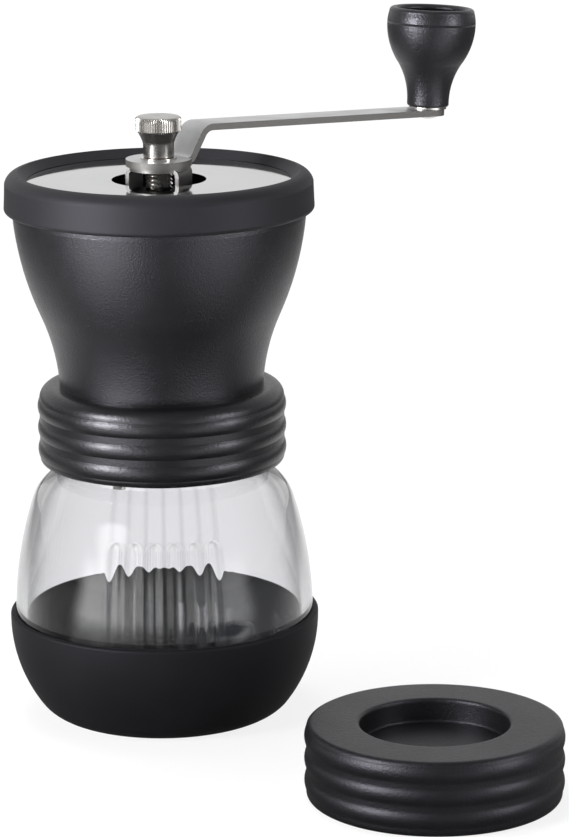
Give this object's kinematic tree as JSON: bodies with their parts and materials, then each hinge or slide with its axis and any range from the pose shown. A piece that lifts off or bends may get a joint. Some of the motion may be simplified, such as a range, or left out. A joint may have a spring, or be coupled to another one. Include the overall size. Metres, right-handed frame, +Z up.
{
  "type": "hand crank coffee grinder",
  "caption": "Manual coffee mill: waisted black hopper with a polished lid plate and steel crank, screwed onto a clear fluted glass jar in a silicone base; ribbed storage lid beside it.",
  "frame": {"origin": "on the table, on the grinder's own upright axis", "axes": "+Z up, -Y towards the viewer, +X to the right; the crank points back and to the right"},
  "size_m": [0.1589, 0.2003, 0.205],
  "materials": {
    "silicone": "soft matte moulded silicone",
    "clear_glass": "thick clear pressed glass",
    "satin_black": "black moulded plastic with a fine satin grain",
    "matte_black": "black moulded plastic, fine matte grain",
    "inner_plastic": "plain black moulded plastic",
    "bearing_plastic": "natural white bearing plastic",
    "brushed_steel": "stainless strip brushed along its length",
    "polished_steel": "mirror-polished stainless sheet",
    "turned_steel": "turned stainless",
    "white_ceramic": "unglazed fine ceramic"
  },
  "bodies": {
    "jar": {"glass_jar": "clear_glass", "base_sleeve": "silicone"},
    "jar_seal": {"jar_seal": "silicone"},
    "mill": {"screw_collar": "matte_black", "hopper": "satin_black", "bearing_bridge": "inner_plastic", "bridge_screws": "turned_steel", "upper_bushing": "bearing_plastic", "outer_burr": "white_ceramic", "burr_retainer": "inner_plastic", "retainer_screws": "turned_steel", "lower_bushing": "bearing_plastic"},
    "thrust_washer": {"thrust_washer": "turned_steel"},
    "adjusting_nut": {"adjusting_nut": "turned_steel"},
    "spindle": {"spindle": "turned_steel", "inner_burr": "white_ceramic", "burr_driver": "inner_plastic", "lower_washer": "turned_steel", "spindle_clip": "turned_steel", "burr_spring": "turned_steel"},
    "crank": {"crank_arm": "brushed_steel", "lock_bracket": "polished_steel", "knob_rivet": "turned_steel", "knob_washer": "turned_steel"},
    "knob": {"crank_knob": "matte_black"},
    "nut_washer": {"nut_washer": "turned_steel"},
    "top_nut": {"top_nut": "turned_steel"},
    "lid": {"lid_plate": "polished_steel", "lid_rim": "silicone"},
    "storage_lid": {"storage_lid": "matte_black", "storage_lid_seal": "silicone"}
  },
  "joints": [
    {"name": "unscrew_rise", "type": "slide", "parent": "jar", "child": "jar_seal", "axis": [0, 0, 1], "range_m": [0, 0.0075]},
    {"name": "jar_unscrew", "type": "hinge", "parent": "jar_seal", "child": "mill", "pos_m": [0, 0, 0.088], "axis": [0, 0, 1], "range_deg": [0, 450]},
    {"name": "crank_spin", "type": "hinge", "parent": "mill", "child": "thrust_washer", "pos_m": [0, 0, 0.15], "axis": [0, 0, 1], "continuous": true},
    {"name": "grind_adjust", "type": "slide", "parent": "thrust_washer", "child": "spindle", "axis": [0, 0, 1], "range_m": [-0.0005, 0.0005], "deforming": ["burr_spring"]},
    {"name": "adjusting_nut_turn", "type": "hinge", "parent": "thrust_washer", "child": "adjusting_nut", "pos_m": [0, 0, 0.154], "axis": [0, 0, 1], "range_deg": [-144, 144]},
    {"name": "lid_lift", "type": "slide", "parent": "mill", "child": "lid", "axis": [0, 0, 1], "range_m": [0, 0.05]},
    {"name": "crank_lift", "type": "slide", "parent": "spindle", "child": "crank", "axis": [0, 0, 1], "range_m": [0, 0.055]},
    {"name": "knob_spin", "type": "hinge", "parent": "crank", "child": "knob", "pos_m": [0.0839, 0.06322, 0.17311], "axis": [0.0446, 0.0336, 0.9984], "continuous": true},
    {"name": "nut_rise", "type": "slide", "parent": "crank", "child": "nut_washer", "axis": [0, 0, 1], "range_m": [0, 0.004]},
    {"name": "top_nut_turn", "type": "hinge", "parent": "nut_washer", "child": "top_nut", "pos_m": [0, 0, 0.175], "axis": [0, 0, 1], "range_deg": [0, 1440]},
    {"name": "storage_lid_lift", "type": "slide", "parent": "jar", "child": "storage_lid", "axis": [0, 0, 1], "range_m": [0, 0.05]}
  ],
  "couplings": [
    {"joint": "jar_unscrew", "follows": "unscrew_rise", "rad_per_m": 1047.2},
    {"joint": "adjusting_nut_turn", "follows": "grind_adjust", "rad_per_m": -5026.5},
    {"joint": "crank_lift", "follows": "lid_lift", "ratio": 1.1},
    {"joint": "nut_rise", "follows": "top_nut_turn", "m_per_rad": 0.00015915}
  ]
}
